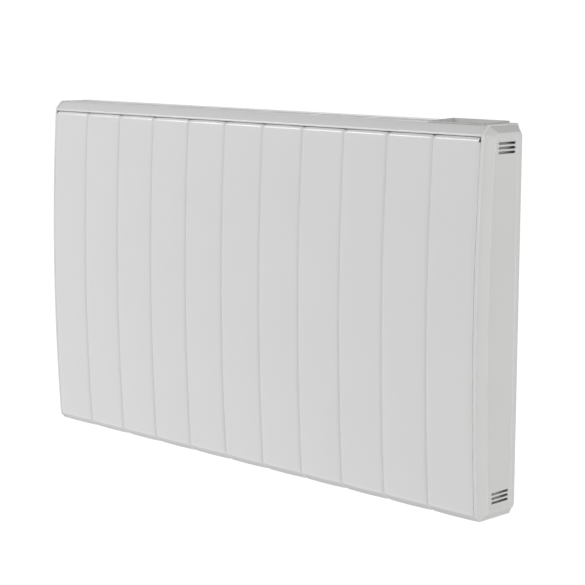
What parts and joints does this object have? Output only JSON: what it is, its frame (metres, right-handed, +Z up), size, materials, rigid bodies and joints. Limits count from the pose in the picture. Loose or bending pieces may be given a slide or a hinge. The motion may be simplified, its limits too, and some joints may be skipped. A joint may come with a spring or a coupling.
{
  "type": "electric panel radiator",
  "caption": "Slim wall-hung electric panel radiator with a bowed, fluted steel front, moulded end caps, top air outlet and a push-button control pod.",
  "frame": {"origin": "middle of the four wall screw holes, on the wall plane", "axes": "+X along the radiator to the right seen from the room, +Y into the wall, +Z up; the front faces -Y"},
  "size_m": [0.946, 0.1059, 0.5508],
  "materials": {
    "white_steel": "satin white powder coat",
    "case_steel": "satin white powder coat",
    "zinc_steel": "zinc-coated sheet",
    "cap_plastic": "fine satin white moulding",
    "face_plastic": "satin light grey moulding",
    "button_plastic": "soft grey moulding",
    "lens_glass": "smoked clear window",
    "display_plastic": "display carrier",
    "board_laminate": "green circuit laminate",
    "black_plastic": "black moulding",
    "heater_film": "printed graphite film",
    "mineral_board": "light mineral fibre",
    "fin_aluminium": "extruded",
    "ceramic": "off-white ceramic",
    "lead_insulation": "silicone sleeve",
    "screw_steel": "zinc plated",
    "bracket_steel": "zinc and white powder coat"
  },
  "bodies": {
    "wall_bracket": {"wall_rail_left": "bracket_steel", "wall_rail_right": "bracket_steel", "wall_rail_tie": "bracket_steel"},
    "heater_case": {"back_panel": "case_steel", "base_grille": "case_steel", "board_leads": "lead_insulation", "board_parts": "black_plastic", "board_standoffs": "screw_steel", "cable_gland": "black_plastic", "cap_screws_left": "screw_steel", "cap_screws_right": "screw_steel", "control_bezel": "cap_plastic", "control_board": "board_laminate", "control_face": "face_plastic", "control_screws": "screw_steel", "convector_element": "fin_aluminium", "cover_screws": "screw_steel", "display_lens": "lens_glass", "display_module": "display_plastic", "element_bracket_left": "zinc_steel", "element_bracket_right": "zinc_steel", "element_bush_left": "ceramic", "element_bush_right": "ceramic", "element_lead": "lead_insulation", "end_cap_left": "cap_plastic", "end_cap_right": "cap_plastic", "front_panel": "white_steel", "gland_nut": "black_plastic", "heat_shield": "zinc_steel", "panel_screws_foot": "screw_steel", "panel_screws_top": "screw_steel", "partition": "zinc_steel", "power_board": "board_laminate", "power_screws": "screw_steel", "radiant_backing": "mineral_board", "radiant_mat": "heater_film", "ribbon_cable": "lead_insulation", "room_sensor": "lead_insulation", "sensor_clip": "black_plastic", "shield_spacers": "zinc_steel", "side_plate_left": "zinc_steel", "side_plate_right": "zinc_steel", "tact_switches": "black_plastic", "terminal_block": "ceramic", "thermal_cutout": "fin_aluminium", "top_cover": "white_steel", "top_rail": "zinc_steel"},
    "latch_left": {"latch_left": "bracket_steel"},
    "latch_right": {"latch_right": "bracket_steel"},
    "power_button": {"power_button": "button_plastic"},
    "mode_button": {"mode_button": "button_plastic"},
    "down_button": {"down_button": "button_plastic"},
    "up_button": {"up_button": "button_plastic"},
    "enter_button": {"enter_button": "button_plastic"}
  },
  "joints": [
    {"name": "case_lift", "type": "slide", "parent": "wall_bracket", "child": "heater_case", "axis": [0, 0, 1], "range_m": [0, 0.013]},
    {"name": "latch_left_turn", "type": "hinge", "parent": "wall_bracket", "child": "latch_left", "pos_m": [-0.22, -0.011, -0.122], "axis": [0, 1, 0], "range_deg": [0, 90]},
    {"name": "latch_right_turn", "type": "hinge", "parent": "wall_bracket", "child": "latch_right", "pos_m": [0.22, -0.011, -0.122], "axis": [0, -1, 0], "range_deg": [0, 90]},
    {"name": "power_button_press", "type": "slide", "parent": "heater_case", "child": "power_button", "axis": [0, 0, -1], "range_m": [0, 0.001], "stiffness_N_per_m": 400, "springref_m": -0.0004},
    {"name": "mode_button_press", "type": "slide", "parent": "heater_case", "child": "mode_button", "axis": [0, 0, -1], "range_m": [0, 0.001], "stiffness_N_per_m": 400, "springref_m": -0.0004},
    {"name": "down_button_press", "type": "slide", "parent": "heater_case", "child": "down_button", "axis": [0, 0, -1], "range_m": [0, 0.001], "stiffness_N_per_m": 400, "springref_m": -0.0004},
    {"name": "up_button_press", "type": "slide", "parent": "heater_case", "child": "up_button", "axis": [0, 0, -1], "range_m": [0, 0.001], "stiffness_N_per_m": 400, "springref_m": -0.0004},
    {"name": "enter_button_press", "type": "slide", "parent": "heater_case", "child": "enter_button", "axis": [0, 0, -1], "range_m": [0, 0.001], "stiffness_N_per_m": 400, "springref_m": -0.0004}
  ]
}
